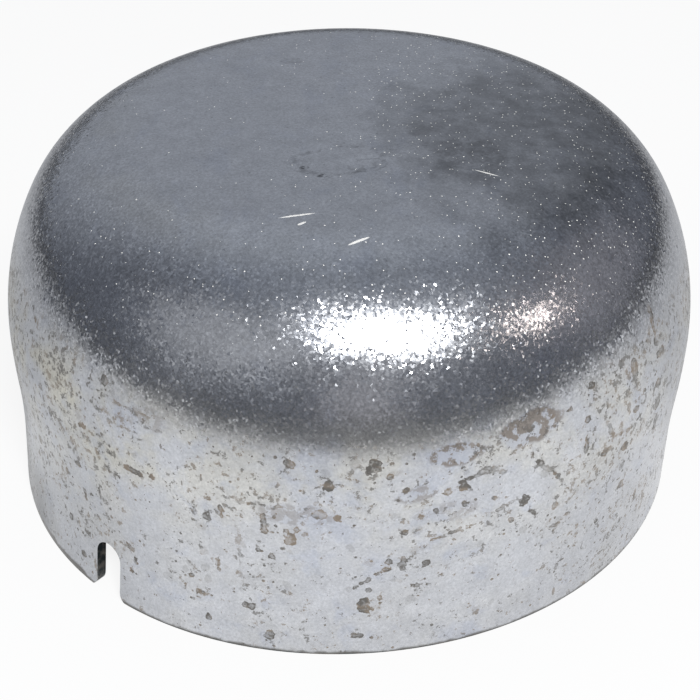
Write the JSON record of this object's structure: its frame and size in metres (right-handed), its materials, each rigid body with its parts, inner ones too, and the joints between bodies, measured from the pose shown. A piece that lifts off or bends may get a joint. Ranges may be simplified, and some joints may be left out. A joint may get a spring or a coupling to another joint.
{
  "type": "hub grease cap",
  "caption": "Pressed steel hub grease cap: open cup with a straight land that grips the hub, faintly swelling wall, broad rounded shoulder, domed crown and a pry notch in the rim.",
  "frame": {"origin": "centre of the rim's flat face, on the cap's axis", "axes": "+Z along the cap's axis from the open rim up to the crown, -Y towards the pry notch, +X to the right of it"},
  "size_m": [0.0628, 0.0636, 0.0341],
  "materials": {
    "zinc_steel": "dull zinc plate over pressed steel, stained, pitted and scratched from use"
  },
  "bodies": {
    "root": {"grease_cap": "zinc_steel"}
  },
  "joints": []
}
